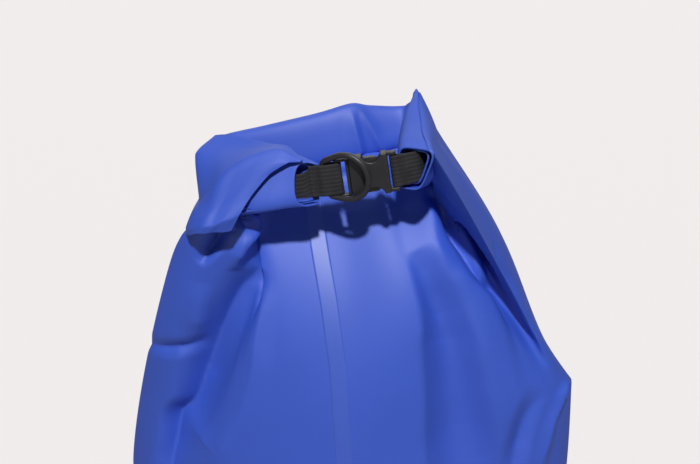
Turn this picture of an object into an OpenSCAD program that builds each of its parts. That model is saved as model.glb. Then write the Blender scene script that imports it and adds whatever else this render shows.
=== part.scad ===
// Roll-top dry bag, standing closed: a welded tarpaulin tube on a round base, its mouth rolled
// down over stiffener strips, the two ends of the roll brought to the front and buckled together.
// Millimetres. The origin is the middle of the base on the floor, +Z is up and -Y is the front.

/* [Bag body] */
// Diameter of the round base
base_d = 270; // [250:5:290]
// Thickness of the coated fabric
wall = 0.8; // [0.6:0.1:1.2]
// Height of the base cup's welded rim
rim_h = 20; // [14:1:30]
// Height of the left shoulder, where the side fold starts to close
left_shoulder_h = 210; // [190:5:230]
// Height of the right shoulder, where the other side fold starts
right_shoulder_h = 285; // [265:5:300]
// Width of the tube at the shoulders, side to side
shoulder_w = 366; // [352:2:380]
// Depth of the tube at the shoulders, front to back
shoulder_depth = 172; // [160:2:184]
// Thickness of the two walls pressed together under the roll
neck_t = 4; // [3.2:0.2:6]
// Width of the welded lap seam down the front
seam_w = 14; // [10:1:16]
// Thickness of the lap seam and of the base's seam tape
tape_t = 0.5; // [0.3:0.1:0.8]
// Height of the seam tape inside the base
base_tape_h = 16; // [10:1:25]

/* [Roll] */
// Height of the roll at its two ends
roll_h = 38; // [36:1:42]
// Thickness of the roll along the rear
roll_t = 18; // [17.5:0.5:20]
// Thickness of the layers wound round the strips
roll_wall = 3; // [2:0.5:3.5]
// Reach of the ring to the left of the bag's axis
ring_left = 114; // [110:1:120]
// Reach of the ring to the right of the bag's axis
ring_right = 65; // [60:1:70]
// Distance of the buckle in front of the bag's axis
ring_front = 75; // [70:1:80]
// Distance of the left corner in front of the bag's axis
ring_left_back = 20; // [16:1:24]
// Distance of the right corner behind the bag's axis
ring_rear = 20; // [16:1:26]
// Left end of the roll, left of the bag's axis
left_end = 36; // [34:1:40]
// Extra height of the roll where it folds to a point at the right corner
ear_h = 8; // [5:0.5:10]
// Height of the stiffener strips
strip_h = 26; // [22:1:28]
// Thickness of the stiffener strips
strip_t = 1; // [0.8:0.1:1.5]

/* [Webbing and buckle] */
// Height of the buckle's middle above the floor
buckle_h = 488; // [470:1:500]
// Distance of the buckle's middle to the right of the bag's axis
buckle_x = 7; // [4:1:10]
// Slope of the buckle and the ring, higher on the right, in degrees
tilt = 8; // [5:0.5:10]
// Width of the webbing
web_w = 25; // [23:0.5:25]
// Thickness of the webbing
web_t = 1.5; // [1.2:0.1:1.7]
// Half width of the buckle's socket
socket_half_w = 16; // [15.6:0.1:17]
// Half thickness of the buckle's socket
socket_half_t = 5; // [4.6:0.1:5.4]
// Radius of the buckle's webbing bars
bar_r = 2; // [1.8:0.1:2.2]
// How far the prongs reach into the socket
prong_l = 22; // [21:0.5:23]
// Radius of the D-ring's rod
ring_rod_r = 2; // [1.6:0.1:2.2]
// Inside width of the D-ring
ring_inside_w = 31; // [30.8:0.2:34]
// Straight length of the D-ring's legs
ring_leg = 19; // [17:0.5:21]

/* [Hidden] */
$fn = 48;

// Colours of the finished object
fabric_blue = "#3355bb";
seam_blue = "#3f62c8";
webbing_black = "#1c1c1e";
plastic_black = "#262628";
strip_white = "#d8dadc";

// Clearances
fit_gap = 0.2;
slide_gap = 0.3;
seat_gap = 0.5;
pivot_gap = 0.1;
half_tape_gap = 0.3;

// Counts of the faceted skins
around = 64;
lower_levels = 6;
upper_levels = 13;
roll_sides = 20;
span_steps = 3;

// Small helpers
function mix(a, b, f) = a + (b - a) * f;
function ease(f) = f * f * (3 - 2 * f);
function share(v, low, high) = max(0, min(1, (v - low) / (high - low)));
function unit(v) = v / norm(v);

// Line of the ring
// It runs from the left end of the roll, round the left corner, along the rear and round the right
// corner to the front end of the right arm, through stations on a plane that slopes as the buckle does.
// Each station has its place in plan, the lift of the roll's middle over that plane, its extra half
// height and extra thickness, how much narrower its top is, and how far the top leans into the ring.
rear_left = [12 - ring_left, 1 - ring_left_back];
rear_right = [ring_right - 21, ring_rear];
function rear_station(f, form) = concat(mix(rear_left, rear_right, f), form);
function left_station(x, y, form) = concat([x - ring_left, y - ring_front], form);
function front_station(x, form) = concat([-left_end - x, -ring_front], form);
function right_station(x, y, form) = concat([ring_right - x, ring_rear - y], form);
function arm_station(x, y, form) = concat([ring_right - x, y - ring_front], form);
roll_stations = [
    front_station(0, [0, -1, 3, 0.1, 0]),
    front_station(12, [5, 3.5, 5, 0.2, 1]),
    front_station(26, [6, 5.5, 7, 0.25, 2]),
    front_station(42, [7, 7, 7, 0.3, 2]),
    left_station(11, 4, [5, 6, 13, 0.4, 2]),
    left_station(0, 25, [4, 4, 12, 0.4, 1]),
    left_station(1, 42, [5, 2, 5, 0.3, 0]),
    rear_station(0, [9, 3, 0, 0.1, 0]),
    rear_station(0.26, [9.5, 0.5, 0, 0.1, 0]),
    rear_station(0.53, [9.5, 2, 0, 0.1, 0]),
    rear_station(0.72, [10.5, 3, 0, 0.1, 0]),
    rear_station(0.84, [7, 1, 0, 0.1, 0]),
    rear_station(1, [4.5, -1.5, 0, 0.15, 0]),
    right_station(10, 5, [9, ear_h - 2, 2, 0.75, 4]),
    right_station(3, 12, [10, ear_h, 7, 0.85, 8]),
    right_station(0, 24, [8, ear_h, 13, 0.85, 11]),
    right_station(1, 40, [5, ear_h - 2, 18, 0.75, 11]),
    arm_station(5, 33, [2, 2.5, 20, 0.5, 8]),
    arm_station(11, 14, [0.5, 0, 12, 0.2, 3]),
    arm_station(17, 4, [0, -2, 3, -0.3, -5])
];
strip_station = 11;
split_station = 15;

function spline(p, k, f) =
    let (
        a = k > 0 ? p[k - 1] : 2 * p[0] - p[1],
        b = p[k],
        c = p[k + 1],
        d = k + 2 < len(p) ? p[k + 2] : 2 * p[k + 1] - p[k]
    )
    b + (c - a) * f / 2
        + (2 * a - 5 * b + 4 * c - d) * pow(f, 2) / 2
        + (3 * b - a - 3 * c + d) * pow(f, 3) / 2;
last_station = len(roll_stations) - 1;
ring_rows = [
    for (k = [0:last_station - 1], j = [0:span_steps - 1]) spline(roll_stations, k, j / span_steps),
    roll_stations[last_station]
];
function slope_z(x) = buckle_h + (x - buckle_x) * tan(tilt);
ring_line = [for (r = ring_rows) [r[0], r[1], slope_z(r[0]) + r[2], r[3], r[4], r[5], r[6]]];
function plan_step(a, b) = norm([b.x - a.x, b.y - a.y]);
ring_run = [
    for (k = 0, s = 0; k < len(ring_line);
        s = s + (k + 1 < len(ring_line) ? plan_step(ring_line[k], ring_line[k + 1]) : 0), k = k + 1) s
];
ring_length = ring_run[len(ring_run) - 1];

function ring_span(s) = min([for (k = [0:len(ring_run) - 2]) if (s <= ring_run[k + 1] + 0.001) k]);
function ring_at(s) =
    let (k = ring_span(s), f = (s - ring_run[k]) / (ring_run[k + 1] - ring_run[k]))
    mix(ring_line[k], ring_line[k + 1], f);
function middle_of(p) = [p[0], p[1], p[2]];
function half_height(p) = roll_h / 2 + p[3];
tangent_step = 3;
function ring_outward(s) =
    let (t = ring_at(min(ring_length, s + tangent_step)) - ring_at(max(0, s - tangent_step)))
    unit([-t[1], t[0], 0]);

// Skins made of rings of points
// Each ring has as many points, and the rings follow one another along the piece.
function wrap(k, n) = k % n;
function skin(first, rings, n) = [
    for (k = [0:rings - 2], i = [0:n - 1])
        let (a = first + k * n, b = a + n, j = wrap(i + 1, n))
        each [[a + i, a + j, b + j], [a + i, b + j, b + i]]
];
// The same for a tube folded flat along its first and its middle points: the faces rise to the folds
function folded_skin(first, rings, n) = [
    for (k = [0:rings - 2], i = [0:n - 1])
        let (a = first + k * n, b = a + n, j = wrap(i + 1, n))
        each i % (n / 2) < n / 4
            ? [[a + i, a + j, b + i], [a + j, b + j, b + i]]
            : [[a + i, a + j, b + j], [a + i, b + j, b + i]]
];
function turned(faces) = [for (f = faces) [f[2], f[1], f[0]]];
function between(a, b, n) = [
    for (i = [0:n - 1]) let (j = wrap(i + 1, n)) each [[a + i, a + j, b + j], [a + i, b + j, b + i]]
];
function flat_cap(a, n) = [
    for (i = [0:n / 2 - 1])
        each concat(
            i > 0 ? [[a + i, a + i + 1, a + n - i]] : [],
            i < n / 2 - 1 ? [[a + i + 1, a + n - i - 1, a + wrap(n - i, n)]] : []
        )
];
function fan_cap(a, n) = [for (i = [1:n - 2]) [a, a + i, a + i + 1]];

// A tube with open ends, from its outer and inner rings
module hollow_skin(outer, inner) {
    n = len(outer[0]);
    r = len(outer);
    in_first = r * n;
    polyhedron(
        points = [for (ring = concat(outer, inner)) each ring],
        faces = concat(
            skin(0, r, n), turned(skin(in_first, r, n)),
            between(in_first, 0, n), between((r - 1) * n, in_first + (r - 1) * n, n)
        )
    );
}

// A solid bar from its rings
module solid_skin(rings) {
    n = len(rings[0]);
    r = len(rings);
    polyhedron(
        points = [for (ring = rings) each ring],
        faces = concat(skin(0, r, n), turned(fan_cap(0, n)), fan_cap((r - 1) * n, n))
    );
}

// Bag body
// A hoop of the tube runs from the left side fold round the rear to the right one, and back in front.
tube_foot = wall + fit_gap;
base_r = base_d / 2;
half_w = shoulder_w / 2;
half_d = shoulder_depth / 2;
side_pinch = 0.8;
front_right_pinch = 0.58;
filling_power = 3;
fold_taper = 8;
// How the flattened tube turns into the ring: powers of the height above the shoulder
closing_power = 2.4;
closing_right = 1.05;
closing_front = 2.1;
left_tip_early = 0.41;
left_tip_power = 1.3;
left_tip_late = 7;
left_bow = [-6, -32];

function smooth(v, low, high) = ease(share(v, low, high));
function pinch_at(tau, side) =
    side > 0 ? side_pinch : mix(side_pinch, front_right_pinch, smooth(tau, 0.5, 0.8));
function hoop_half(tau, deep, pinch) = deep * pow(max(0, sin(180 * tau)), 2 * pinch);
function hoop(tau, side, across, deep, pinch) =
    [-across * cos(180 * tau), side * hoop_half(tau, deep, pinch)];
function span_share(tau) = (1 - cos(180 * tau)) / 2;
function neck_share(tau) = mix(span_share(tau), tau, smooth(tau, 0.4, 0.6));
function neck_half(tau) = neck_t / 2 * (1 - pow(2 * tau - 1, fold_taper));
function roll_bottom(p) = p[2] - half_height(p);
function neck_z(f) = roll_bottom(ring_at(f * ring_length)) - seat_gap;

// Main folds of the front, from top to bottom: a place across at each end, the two heights, the width
// as a share of the front, and how far the fold stands out
front_folds = [
    [0.575, 0.585, 430, 180, 0.04, -7],
    [0.66, 0.72, 450, 180, 0.045, 6],
    [0.37, 0.35, 440, 220, 0.04, 6],
    [0.33, 0.27, 420, 270, 0.04, -7]
];
fold_fade = 60;
function fold_height(f, tau, z) =
    let (off = (tau - mix(f[0], f[1], share(z, f[2], f[3]))) / f[4])
    f[5] * exp(-pow(off, 2)) * smooth(z, f[3] - fold_fade, f[3]) * (1 - smooth(z, f[2] - fold_fade, f[2]));
function relief(tau, side, z) =
    side > 0 ? 0 : [for (f = front_folds) fold_height(f, tau, z)] * [for (f = front_folds) 1];

function shoulder_z(tau) = mix(left_shoulder_h, right_shoulder_h, span_share(tau));
round_pinch = 0.5;
rim_clear = 2;
function foot_point(tau, side) = concat(hoop(tau, side, base_r, base_r, round_pinch), [tube_foot]);
function lower_point(level, tau, side) =
    let (
        f = 1 - pow(1 - level, filling_power),
        pinch = mix(round_pinch, pinch_at(tau, side), f),
        z = mix(rim_h + rim_clear, shoulder_z(tau), level)
    )
    concat(
        hoop(tau, side, mix(base_r, half_w, f), mix(base_r, half_d, f), pinch)
            + [0, side * relief(tau, side, z)],
        [z]
    );

// The line midway between the tube's two layers, at a height above the shoulder
function left_tip(s) = mix(pow(s, left_tip_late), pow(s, left_tip_power), left_tip_early);
function closing(tau, s) =
    mix(
        pow(s, mix(closing_power, closing_right, smooth(tau, 0.5, 0.95))),
        left_tip(s),
        1 - smooth(span_share(tau), 0.02, 0.26)
    );
function layer_middle(tau, s) =
    let (
        w = closing(tau, s),
        p = ring_at(neck_share(tau) * ring_length),
        bow = 4 * w * (1 - w) * (1 - smooth(span_share(tau), 0, 0.24))
    )
    mix([-half_w * cos(180 * tau), 0], [p[0], p[1]], w) + left_bow * bow;

// The two layers lie on either side of that line, and the front one leaves room for a hand
tau_step = 0.01;
function upper_point(s, tau, side) =
    let (
        ahead = layer_middle(min(1, tau + tau_step), s) - layer_middle(max(0, tau - tau_step), s),
        low = hoop_half(tau, half_d, pinch_at(tau, side)),
        half = mix(low, neck_half(tau), pow(s, side > 0 ? closing_power : closing_front)),
        z = mix(shoulder_z(tau), neck_z(neck_share(tau)), s),
        out = unit([-ahead.y, ahead.x]) * side * (half + relief(tau, side, z))
    )
    concat(layer_middle(tau, s) + out, [z]);

function fold_share(i) = i <= around / 2 ? i / (around / 2) : (around - i) / (around / 2);
function fold_side(i) = i <= around / 2 ? 1 : -1;
// Levels lie closer together towards the neck
level_crowding = 1.5;
function tube_ring(point) = [for (i = [0:around - 1]) point(fold_share(i), fold_side(i))];
tube_rings = concat(
    [tube_ring(function(tau, side) foot_point(tau, side))],
    [for (k = [0:lower_levels]) tube_ring(function(tau, side) lower_point(k / lower_levels, tau, side))],
    [
        for (k = [1:upper_levels])
            let (s = 1 - pow(1 - k / upper_levels, level_crowding))
            tube_ring(function(tau, side) upper_point(s, tau, side))
    ]
);

// The inside of a hoop: the wall's thickness further in, and less where the two layers close up
close_share = 0.35;
fold_share_in = 0.9;
function inner_ring(ring) = [
    for (i = [0:around - 1])
        let (
            a = ring[(i + around - 1) % around],
            b = ring[(i + 1) % around],
            over = ring[(around - i) % around],
            into = unit([a.y - b.y, b.x - a.x, 0])
        )
        i % (around / 2) == 0
            ? mix(ring[i], (a + b) / 2, fold_share_in)
            : ring[i] - into * min(wall, close_share * norm(over - ring[i]) / 2)
];
top_ring = len(tube_rings) - 1;
top_share = 0.3;
inner_rings = concat(
    [for (k = [0:top_ring - 1]) inner_ring(tube_rings[k])],
    [mix(inner_ring(tube_rings[top_ring]), inner_ring(tube_rings[top_ring - 1]), top_share)]
);

module body_tube() {
    r = len(tube_rings);
    in_first = r * around;
    color(fabric_blue)
    polyhedron(
        points = [for (ring = concat(tube_rings, inner_rings)) each ring],
        faces = turned(concat(
            folded_skin(0, r, around), turned(folded_skin(in_first, r, around)),
            between(in_first, 0, around),
            flat_cap((r - 1) * around, around), turned(flat_cap(in_first + (r - 1) * around, around))
        ))
    );
}

// The base is a disc whose edge is turned up outside the tube and welded to it
module base_cup() {
    rim_in = base_r + fit_gap;
    color(fabric_blue)
    rotate_extrude($fn = 96)
    polygon([
        [0, 0], [rim_in + wall, 0], [rim_in + wall, rim_h], [rim_in, rim_h], [rim_in, wall], [0, wall]
    ]);
}

// Tape over the base's joint, inside the tube
module base_seam_tape() {
    tape_r = (base_r - wall) * cos(180 / around) - fit_gap;
    color(seam_blue)
    translate([0, 0, tube_foot])
    rotate_extrude($fn = 96)
    translate([tape_r - tape_t, 0])
    square([tape_t, base_tape_h]);
}

// The sheet's two edges lap down the middle of the front, as a raised welded strip
module lap_seam() {
    left_i = around * 3 / 4;
    first = 2;
    last = len(tube_rings) - 2;
    rings = [
        for (k = [first:last])
            let (
                a = tube_rings[k][left_i],
                b = tube_rings[k][left_i - 1],
                half = seam_w / 2 / norm(b - a),
                up = tube_rings[k + 1][left_i] - tube_rings[k - 1][left_i],
                out = unit(cross(b - a, up)),
                p = mix(a, b, 0.5 - half),
                q = mix(a, b, 0.5 + half)
            )
            [
                p + out * half_tape_gap, q + out * half_tape_gap,
                q + out * (half_tape_gap + tape_t), p + out * (half_tape_gap + tape_t)
            ]
    ];
    color(seam_blue)
    solid_skin([for (ring = rings) [ring[3], ring[2], ring[1], ring[0]]]);
}

// Roll
// A flattened tube of wound fabric. Its section is a rounded box with its long side upright, and its
// height, thickness, taper and lean change along the ring.
corner_power = 0.75;
least_half_t = 0.6;
function rounded_step(v) = sign(v) * pow(abs(v), corner_power);
function roll_section(p, n, inset) = [
    for (i = [0:roll_sides - 1])
        let (
            a = 360 * (i + 0.5) / roll_sides,
            rise = rounded_step(sin(a)),
            up = (1 + rise) / 2,
            half = max(least_half_t, (roll_t + p[4]) / 2 * (1 - p[5] * up) - inset)
        )
        middle_of(p) + n * (rounded_step(cos(a)) * half - p[6] * up)
            + [0, 0, rise * (half_height(p) - inset)]
];
function roll_sections(first, last, start_gap, inset) = [
    for (k = [first:last])
        let (s = ring_run[k] + (k == first ? start_gap : 0))
        roll_section(ring_at(s), ring_outward(s), inset)
];
module roll_between(first, last, start_gap) {
    color(fabric_blue)
    hollow_skin(
        roll_sections(first, last, start_gap, 0), roll_sections(first, last, start_gap, roll_wall)
    );
}
split_row = split_station * span_steps;

module rolled_mouth() roll_between(0, split_row, 0);

// Where the webbing runs along the right arm, in the buckle's own frame
arm_inset = 13;
arm_x = (ring_right - arm_inset - buckle_x) / cos(tilt);

// Places what is drawn in the buckle's own frame: X along the buckle to the right, Y to the rear
module at_buckle() {
    translate([buckle_x, -ring_front, buckle_h])
    rotate([0, -tilt, 0])
    children();
}

// The right end of the roll, which moves out with the socket when the buckle opens
module right_roll_end() roll_between(split_row, len(ring_line) - 1, seat_gap);

// Stiffener strips
// Two plastic strips welded inside the mouth, one each side of the webbing.
strip_gap = 0.6;
strip_in = web_t + strip_gap;
strip_inset = 3;
function strip_profile(side) =
    let (a = side > 0 ? strip_in : -strip_in - strip_t)
    [[a, -strip_h / 2], [a + strip_t, -strip_h / 2], [a + strip_t, strip_h / 2], [a, strip_h / 2]];
strip_runs = concat(
    [strip_inset],
    [for (k = [1:strip_station * span_steps]) ring_run[k]]
);
function strip_section(s, side) =
    let (c = middle_of(ring_at(s)), n = ring_outward(s))
    [for (p = strip_profile(side)) c + n * p.x + [0, 0, p.y]];

module long_strip(side) {
    color(strip_white)
    solid_skin([for (s = strip_runs) strip_section(s, side)]);
}
module front_stiffener() long_strip(-1);
module rear_stiffener() long_strip(1);

module short_strip(side) {
    start = bend_r + web_t + strip_inset;
    color(strip_white)
    at_buckle()
    translate([arm_x + (side > 0 ? strip_in : -strip_in - strip_t), start, -strip_h / 2])
    cube([strip_t, bend_r + tail_l - start, strip_h]);
}
module right_front_stiffener() short_strip(-1);
module right_rear_stiffener() short_strip(1);

// Buckle
// Places along the buckle, from its middle
ring_bar_x = -27.3;
plug_bar_x = -16.7;
mouth_x = -7.4;
rail_end_x = 2.6;
window_x = 10;
window_r = 7.5;
window_out = 1.4;
block_x = 17.5;
slot_x = 22.4;
socket_bar_x = 27;
// Inside of the socket
cavity_half_t = 2.9;
rail_in = 12.1;
// Prongs
knuckle_x = -5.4;
knuckle_z = 8;
knuckle_r = 2.2;
prong_half_t = 2.2;
prong_half_w = 1.7;
catch_gap = 0.7;
catch_l = 3;
catch_out = 1.6;
catch_in = 1.8;
lobe_r = 3.1;
lobe_out = 1.9;
guide_half_w = 2;
// Frame round the webbing bars
web_play = 0.4;
frame_in = web_w / 2 + web_play;
plug_half_w = ring_inside_w / 2 - slide_gap;
frame_half_t = 2.2;

// A shape drawn across the buckle, X along it and Y up its width, given its thickness
module slab(half_t) {
    rotate([90, 0, 0])
    linear_extrude(2 * half_t, center = true)
    children();
}

module webbing_bar(x, half_l) {
    translate([x, 0, -half_l])
    cylinder(r = bar_r, h = 2 * half_l);
}

module buckle_plug() {
    flange_x = mouth_x - slide_gap;
    flange_t = 2.4;
    color(plastic_black)
    at_buckle()
    difference() {
        union() {
            webbing_bar(plug_bar_x, frame_in + 1);
            slab(frame_half_t)
            for (side = [-1, 1])
                mirror([0, side > 0 ? 0 : 1])
                translate([plug_bar_x - bar_r, frame_in])
                square([flange_x - plug_bar_x + bar_r, plug_half_w - frame_in]);
            slab(socket_half_t - 1)
            translate([flange_x - flange_t, -plug_half_w])
            square([flange_t, 2 * plug_half_w]);
            slab(prong_half_t) {
                translate([flange_x - 1, -rail_in + slide_gap])
                square([knuckle_x - flange_x + 1, 2 * (rail_in - slide_gap)]);
                translate([flange_x - 1, -guide_half_w])
                square([prong_l - 4, 2 * guide_half_w]);
            }
        }
        for (side = [-1, 1])
            translate([knuckle_x, 0, side * knuckle_z])
            rotate([90, 0, 0])
            cylinder(r = knuckle_r + pivot_gap, h = 4 * socket_half_t, center = true);
    }
}

// The catch stands behind the socket's rail, and the round lobe shows in the window
module prong_outline() {
    tip_x = mouth_x + prong_l;
    catch_x = rail_end_x + catch_gap;
    lobe_z = rail_in + lobe_out - lobe_r;
    translate([knuckle_x, knuckle_z])
    circle(knuckle_r);
    polygon([
        [knuckle_x, knuckle_z - prong_half_w], [tip_x - lobe_r, lobe_z - lobe_r], [tip_x - lobe_r, lobe_z],
        [catch_x + catch_l, lobe_z + lobe_r], [catch_x, rail_in + catch_out], [catch_x, rail_in - catch_in],
        [knuckle_x, knuckle_z + prong_half_w]
    ]);
    translate([tip_x - lobe_r, lobe_z])
    circle(lobe_r);
    polygon([
        [catch_x + catch_l, lobe_z], [tip_x - lobe_r, lobe_z], [tip_x - lobe_r, lobe_z + lobe_r],
        [catch_x + catch_l, lobe_z + lobe_r]
    ]);
}

module upper_prong() {
    color(plastic_black)
    at_buckle()
    slab(prong_half_t)
    prong_outline();
}

module lower_prong() {
    color(plastic_black)
    at_buckle()
    mirror([0, 0, 1])
    slab(prong_half_t)
    prong_outline();
}

module buckle_socket() {
    end_x = socket_bar_x + bar_r;
    color(plastic_black)
    at_buckle()
    difference() {
        union() {
            slab(socket_half_t)
            difference() {
                translate([mouth_x, -socket_half_w])
                square([slot_x - mouth_x, 2 * socket_half_w]);
                for (side = [-1, 1])
                    translate([window_x, side * (socket_half_w + window_out)])
                    circle(window_r);
            }
            slab(frame_half_t)
            for (side = [-1, 1])
                mirror([0, side > 0 ? 0 : 1])
                translate([slot_x - 1, frame_in])
                square([end_x - slot_x + 1, socket_half_w - frame_in]);
            webbing_bar(socket_bar_x, frame_in + 1);
        }
        slab(cavity_half_t) {
            translate([mouth_x - 1, -rail_in])
            square([block_x - mouth_x + 1, 2 * rail_in]);
            translate([rail_end_x, -socket_half_w - 1])
            square([block_x - rail_end_x, 2 * socket_half_w + 2]);
        }
    }
}

// D-ring
// Its straight bar lies in the webbing's loop, and it leans on the front of the socket.
ring_lean = 25;
ring_corner_r = 3;
// It lies a little askew in the loose loop, its bow higher than its bar
ring_askew = 6;
ring_slack_x = 1.5;
ring_drop = 1;

module rod(from, to) {
    v = to - from;
    translate(from)
    rotate([0, acos(v.z / norm(v)), atan2(v.y, v.x)])
    cylinder(r = ring_rod_r, h = norm(v));
}

module d_ring() {
    half_w = ring_inside_w / 2 + ring_rod_r;
    color(plastic_black)
    at_buckle()
    translate([ring_bar_x + ring_slack_x, 0, -ring_drop])
    rotate([0, -ring_askew, 0])
    rotate([0, 0, -ring_lean]) {
        rod([0, 0, ring_corner_r - half_w], [0, 0, half_w - ring_corner_r]);
        for (side = [-1, 1]) {
            rod([ring_corner_r, 0, side * half_w], [ring_leg, 0, side * half_w]);
            mirror([0, 0, side > 0 ? 0 : 1])
            translate([ring_corner_r, 0, half_w - ring_corner_r])
            rotate([90, 0, 0])
            rotate([0, 0, 90])
            rotate_extrude(angle = 90)
            translate([ring_corner_r, 0])
            circle(ring_rod_r);
        }
        translate([ring_leg, 0, 0])
        rotate([90, 0, 0])
        rotate([0, 0, -90])
        rotate_extrude(angle = 180)
        translate([half_w, 0])
        circle(ring_rod_r);
    }
}

// Webbing
// Each tab loops round a bar, is sewn to itself and runs on into its end of the roll.
bend_r = 10;
loop_in = bar_r + pivot_gap;
loop_out = loop_in + web_t;
sewn_l = 6;
tail_l = 25;

// Section across the webbing: X along the buckle, Y through the thickness
module loop_section(x0, x1) {
    difference() {
        union() {
            translate([x0, -loop_out])
            square([x1 - x0, 2 * loop_out]);
            for (x = [x0, x1])
                translate([x, 0])
                circle(loop_out);
        }
        translate([x0, -loop_in])
        square([x1 - x0, 2 * loop_in]);
        for (x = [x0, x1])
            translate([x, 0])
            circle(loop_in);
    }
}

left_sewn_x = ring_bar_x - loop_out - sewn_l;
left_mouth_x = -(left_end + buckle_x) / cos(tilt);

module left_webbing() {
    color(webbing_black)
    at_buckle()
    linear_extrude(web_w, center = true) {
        loop_section(ring_bar_x, plug_bar_x);
        translate([left_sewn_x, -web_t])
        square([sewn_l + web_t, 2 * web_t]);
        translate([left_mouth_x - tail_l, -web_t / 2])
        square([left_sewn_x - left_mouth_x + tail_l + 1, web_t]);
    }
}

right_sewn_x = socket_bar_x + loop_out;
bend_x = arm_x - bend_r;

module right_webbing() {
    tail_end = bend_r + tail_l;
    color(webbing_black)
    at_buckle()
    linear_extrude(web_w, center = true) {
        loop_section(socket_bar_x, socket_bar_x + 0.5);
        translate([right_sewn_x - 1, -web_t])
        square([bend_x - right_sewn_x + 1, 2 * web_t]);
        translate([bend_x, bend_r])
        intersection() {
            difference() {
                circle(bend_r + web_t / 2);
                circle(bend_r - web_t / 2);
            }
            translate([0, -2 * bend_r])
            square([2 * bend_r, 2 * bend_r]);
        }
        translate([arm_x - web_t / 2, bend_r])
        square([web_t, tail_end - bend_r]);
    }
}

// Rows of thread across the sewn overlap, on both faces of the webbing
stitch_rows = 2;
stitch_count = 7;
stitch_l = 2.4;
thread_t = 0.5;

module stitching(x0, x1) {
    pitch = (web_w - 2) / stitch_count;
    color(webbing_black)
    at_buckle()
    for (row = [1:stitch_rows], k = [0:stitch_count - 1], face = [-1, 1])
        translate([
            mix(x0, x1, row / (stitch_rows + 1)), face * (web_t + thread_t / 2),
            (k - (stitch_count - 1) / 2) * pitch
        ])
        cube([thread_t, thread_t, stitch_l], center = true);
}
module left_stitching() stitching(left_sewn_x, ring_bar_x - loop_out);
module right_stitching() stitching(right_sewn_x, bend_x);

base_cup();
base_seam_tape();
body_tube();
lap_seam();
rolled_mouth();
right_roll_end();
front_stiffener();
rear_stiffener();
right_front_stiffener();
right_rear_stiffener();
left_webbing();
right_webbing();
left_stitching();
right_stitching();
buckle_plug();
upper_prong();
lower_prong();
d_ring();
buckle_socket();
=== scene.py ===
import math

import bmesh
import bpy
import numpy as np
from mathutils import Matrix, Vector


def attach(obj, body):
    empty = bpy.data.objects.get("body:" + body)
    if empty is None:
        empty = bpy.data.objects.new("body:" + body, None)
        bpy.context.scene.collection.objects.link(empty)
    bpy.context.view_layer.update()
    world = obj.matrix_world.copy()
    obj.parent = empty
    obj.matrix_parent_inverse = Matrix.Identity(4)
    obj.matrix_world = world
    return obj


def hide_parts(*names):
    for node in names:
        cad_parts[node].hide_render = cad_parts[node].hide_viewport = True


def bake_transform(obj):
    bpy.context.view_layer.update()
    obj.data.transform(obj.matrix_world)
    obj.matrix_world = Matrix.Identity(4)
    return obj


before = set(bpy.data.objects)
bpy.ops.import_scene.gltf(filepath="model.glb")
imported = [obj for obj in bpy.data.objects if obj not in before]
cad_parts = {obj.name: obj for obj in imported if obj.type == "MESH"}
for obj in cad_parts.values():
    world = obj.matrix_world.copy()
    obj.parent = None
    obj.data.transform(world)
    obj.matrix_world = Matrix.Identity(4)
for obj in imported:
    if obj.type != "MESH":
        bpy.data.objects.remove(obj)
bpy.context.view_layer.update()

# Roll
# The mouth of the bag, pressed flat and wound down into a flattened roll of coated fabric. Its two
# ends are bent to the front and buckled together, so the roll is a ring with one open side.
MM = 0.001
UP = np.array([0, 0, 1.0])

# Middle of the roll in plan (x, y), heights of its bottom and top, its thickness, how sharp its top edge
# is and how far the top leans into the ring, from the left open end round the left corner, along the
# rear and round the raised right corner to the right open end
ROLL_STATIONS = [
    (-24, -77, 465, 496, 17, 0.05, 3),
    (-36, -77, 464, 500, 22, 0.15, 8),
    (-48, -77, 463, 504, 24, 0.30, 14),
    (-62, -76, 460, 503, 26, 0.40, 17),
    (-78, -71, 456, 498, 28, 0.35, 15),
    (-91, -61, 454, 495, 25, 0.35, 13),
    (-101, -47, 456, 493, 20, 0.30, 9),
    (-106, -34, 459, 494, 16, 0.20, 2),
    (-101, -21, 463, 501, 15, 0.10, -2),
    (-64, -8, 468, 505, 15, 0.10, -7),
    (-24, 3, 472, 511, 15, 0.10, -9),
    (3, 10, 476, 517, 15, 0.10, -9),
    (18, 15, 477, 514, 14, 0.10, -9),
    (38, 20, 480, 512, 14, 0.20, -8),
    (44, 20, 480, 514, 14, 0.35, -6),
    (49, 19, 479, 520, 16, 0.55, -2),
    (54, 15, 479, 529, 20, 0.72, 5),
    (59, 8, 478, 533, 25, 0.78, 8),
    (61, -4, 477, 530, 30, 0.60, 10),
    (60, -20, 476, 525, 35, 0.42, 11),
    (55, -42, 476, 518, 32, 0.12, 6),
    (50, -61, 476, 514, 30, 0.05, 1),
    (44, -74, 476, 510, 20, -0.62, -7),
]
STATION_STEPS = 60
# How round the section is, and at the right open end, where it is squarer
SECTION_POWER = 0.75
RIGHT_END_POWER = 0.5
# Least half thickness of a sharp edge
EDGE_HALF = 0.8


def smooth_through(points, steps):
    """A smooth line through the points, as many columns as they have."""
    p = np.array(points, float)
    p = np.vstack([2 * p[0] - p[1], p, 2 * p[-1] - p[-2]])
    f = np.linspace(0, 1, steps, endpoint=False)[:, None]
    spans = []
    for a, b, c, d in zip(p, p[1:], p[2:], p[3:]):
        bow = 2 * a - 5 * b + 4 * c - d
        twist = 3 * b - a - 3 * c + d
        spans.append(0.5 * (2 * b + (c - a) * f + bow * f**2 + twist * f**3))
    return np.vstack(spans + [p[-2:-1]])


def run_and_heading(line):
    """Share of a line's run at each of its points, and the direction of the line there."""
    run = np.concatenate([[0], np.cumsum(np.linalg.norm(np.diff(line, axis=0), axis=1))])
    heading = np.gradient(line, axis=0)
    return run / run[-1], heading / np.linalg.norm(heading, axis=1)[:, None]


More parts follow.
